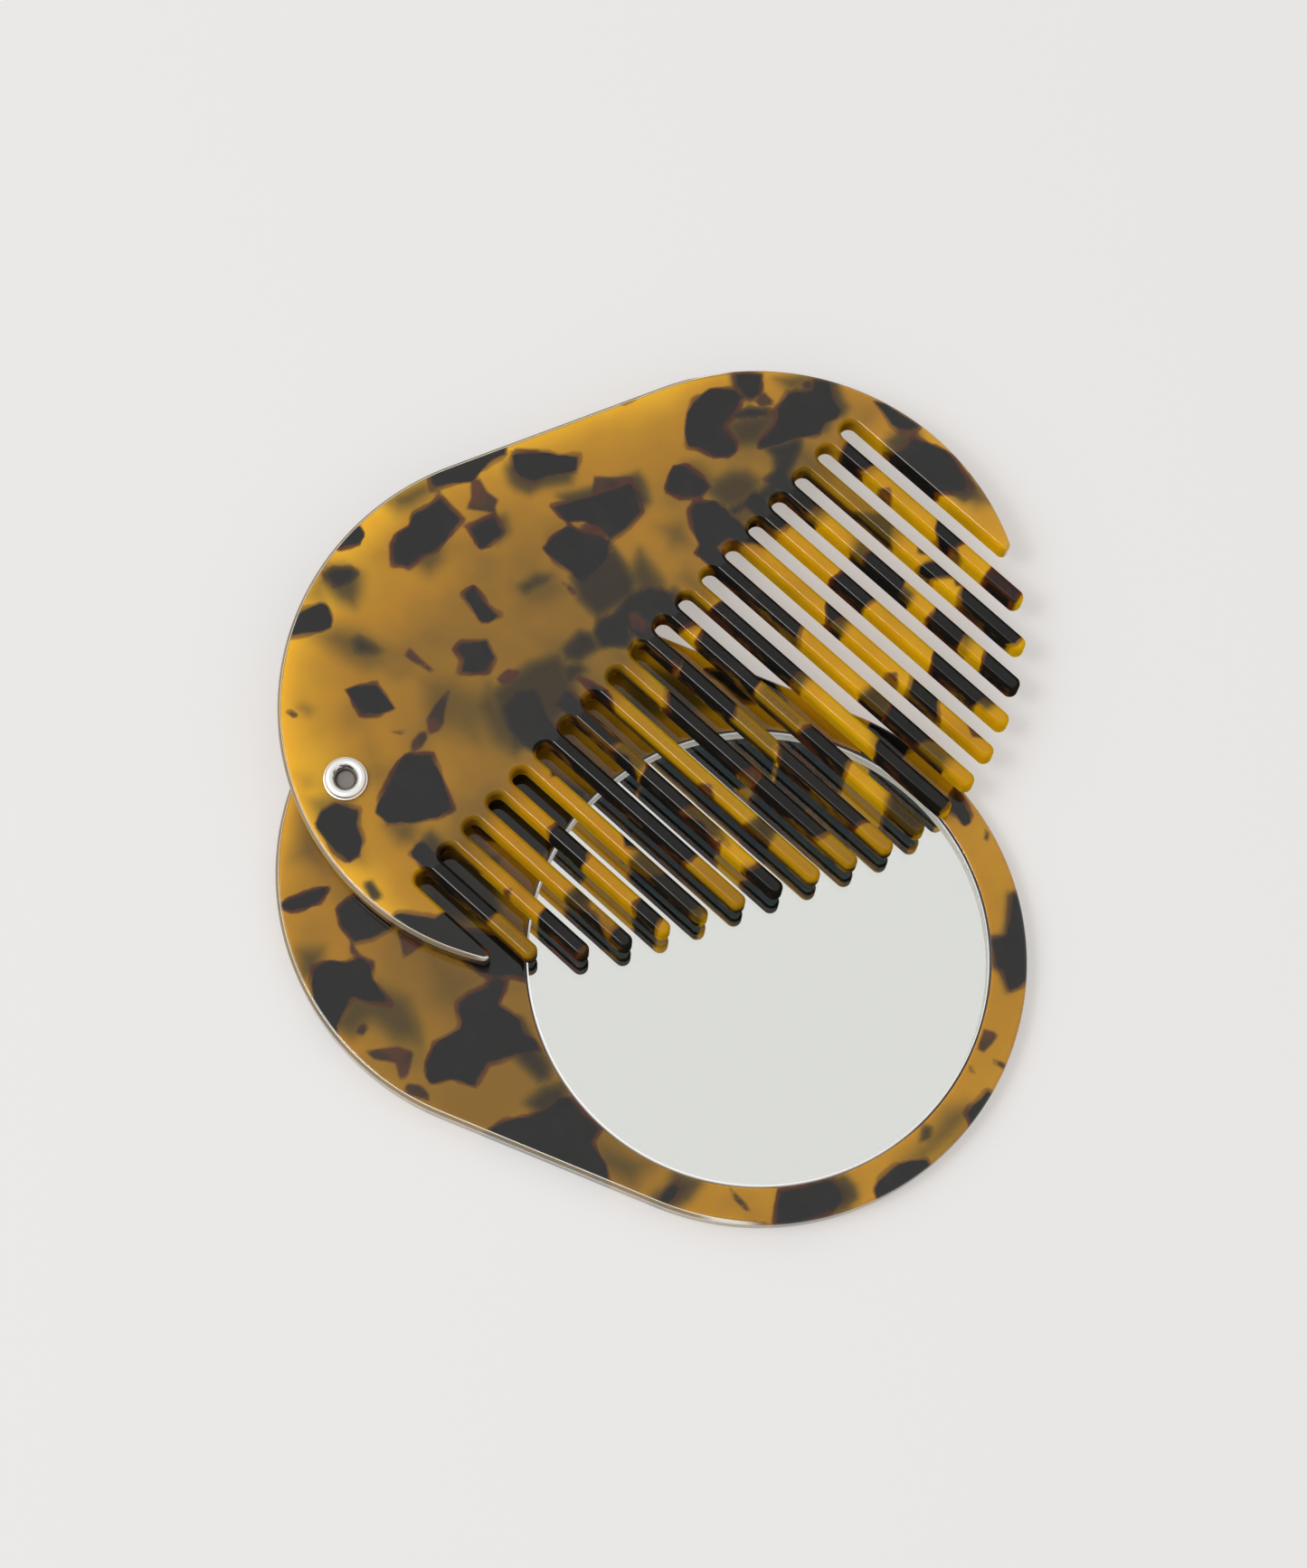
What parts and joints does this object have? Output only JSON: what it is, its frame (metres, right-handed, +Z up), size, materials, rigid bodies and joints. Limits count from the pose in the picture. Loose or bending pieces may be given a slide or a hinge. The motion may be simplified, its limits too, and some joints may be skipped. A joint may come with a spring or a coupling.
{
  "type": "pocket mirror comb",
  "caption": "Folding pocket comb in tortoiseshell acetate that swings on a rivet over a round mirror set in a matching plate.",
  "frame": {"origin": "centre of the mirror plate's underside, the face that the closed or open object lies on", "axes": "+Z up out of the mirror, along the rivet's axis; +X along the mirror plate's length, from the rivet towards the mirror"},
  "size_m": [0.0897, 0.0917, 0.0085],
  "materials": {
    "mirror_plate_acetate": "polished tortoiseshell cellulose acetate, amber with near-black chips",
    "comb_acetate": "polished tortoiseshell cellulose acetate, amber with near-black chips",
    "clear_glass": "clear float glass with a ground arris",
    "silvering": "silvered, painted on the back",
    "foam_tape": "double-sided tape",
    "nickel_plate": "bright nickel plate",
    "nylon": "natural nylon"
  },
  "bodies": {
    "mirror_half": {"mirror_plate": "mirror_plate_acetate", "mirror_glass": "clear_glass", "mirror_silvering": "silvering", "adhesive_disc": "foam_tape", "pivot_rivet": "nickel_plate", "clinch_washer": "nickel_plate", "spacer_washer": "nylon"},
    "comb": {"comb_plate": "comb_acetate"}
  },
  "joints": [
    {"name": "comb_swing", "type": "hinge", "parent": "mirror_half", "child": "comb", "pos_m": [-0.0357, 0, 0.00575], "axis": [0, 0, 1], "continuous": true}
  ]
}
